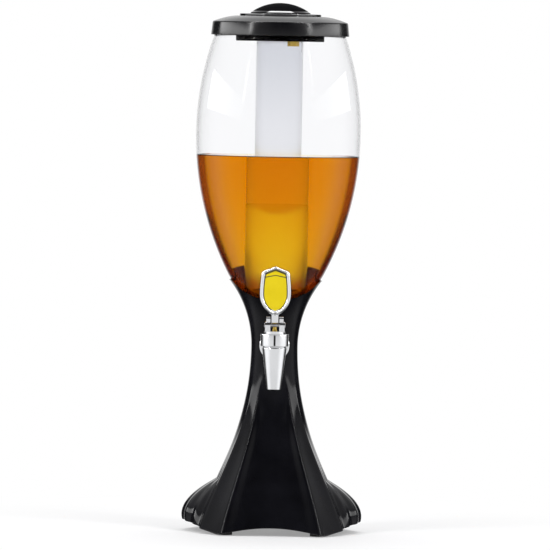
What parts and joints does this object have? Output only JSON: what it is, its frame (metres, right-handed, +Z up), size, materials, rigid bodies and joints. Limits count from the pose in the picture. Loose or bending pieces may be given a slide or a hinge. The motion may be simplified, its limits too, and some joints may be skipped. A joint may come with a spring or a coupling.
{
  "type": "beer tower dispenser",
  "caption": "Table-top beer tower with a clear egg-shaped barrel, an ice tube hung from its domed lid, a lever tap with a shield handle and a flared black stand.",
  "frame": {"origin": "on the table, under the middle of the stand", "axes": "+Z up along the barrel's axis, -Y to the front, where the tap is, +X to the right in the picture"},
  "size_m": [0.1864, 0.17, 0.5446],
  "materials": {
    "black_gloss": "gloss",
    "black_matt": "matt",
    "rubber": "matt",
    "steel": "satin",
    "clear_plastic": "clear gloss",
    "chrome": "polished",
    "brass": "satin",
    "yellow_gloss": "gloss",
    "silicone": "satin",
    "frosted_plastic": "frosted",
    "red_lead": "satin",
    "board_green": "satin",
    "cell_wrap": "gloss",
    "white_matt": "matt"
  },
  "bodies": {
    "stand": {"base_skirt": "black_gloss", "base_column": "black_gloss", "bottom_plate": "black_matt", "rubber_feet": "rubber", "tie_bolt": "steel", "tie_washer": "steel", "tie_nut": "steel", "barrel": "clear_plastic", "barrel_gasket": "rubber", "barrel_locknut": "black_matt", "outlet_elbow": "black_matt", "elbow_o_ring": "rubber", "tap_body": "chrome", "shank_flange": "chrome", "shank_seal": "rubber", "shank_washer": "steel", "shank_nut": "steel", "tap_bonnet": "chrome", "stem_o_ring": "rubber", "return_spring": "steel", "pivot_pin": "steel", "transducer": "steel", "transducer_lead": "red_lead", "driver_board": "board_green", "battery_tray": "black_matt", "battery_contacts": "steel", "battery_cells": "cell_wrap", "battery_cover": "black_matt", "cover_screw": "steel", "switch_body": "black_matt"},
    "lever": {"tap_lever": "chrome", "badge_plate": "yellow_gloss"},
    "valve": {"valve_stem": "brass", "valve_plug": "rubber"},
    "lid_set": {"lid": "black_gloss", "lid_gasket": "silicone", "ice_tube": "frosted_plastic", "vent_bush": "brass", "vent_flap": "silicone"},
    "cap": {"port_cap": "black_gloss", "port_o_ring": "silicone"},
    "switch": {"switch_slider": "white_matt"}
  },
  "joints": [
    {"name": "lever_pull", "type": "hinge", "parent": "stand", "child": "lever", "pos_m": [0, -0.057, 0.2152], "axis": [1, 0, 0], "range_deg": [0, 40], "stiffness_Nm_per_rad": 0.5, "springref_deg": -17.19},
    {"name": "stem_lift", "type": "slide", "parent": "stand", "child": "valve", "axis": [0, 0, 1], "range_m": [0, 0.0049], "deforming": ["return_spring"]},
    {"name": "lid_lift", "type": "slide", "parent": "stand", "child": "lid_set", "axis": [0, 0, 1], "range_m": [0, 0.27]},
    {"name": "cap_lift", "type": "slide", "parent": "lid_set", "child": "cap", "axis": [0, 0, 1], "range_m": [0, 0.04]},
    {"name": "switch_slide", "type": "slide", "parent": "stand", "child": "switch", "axis": [0, 1, 0], "range_m": [0, 0.004]}
  ],
  "couplings": [
    {"joint": "stem_lift", "follows": "lever_pull", "m_per_rad": 0.007}
  ]
}
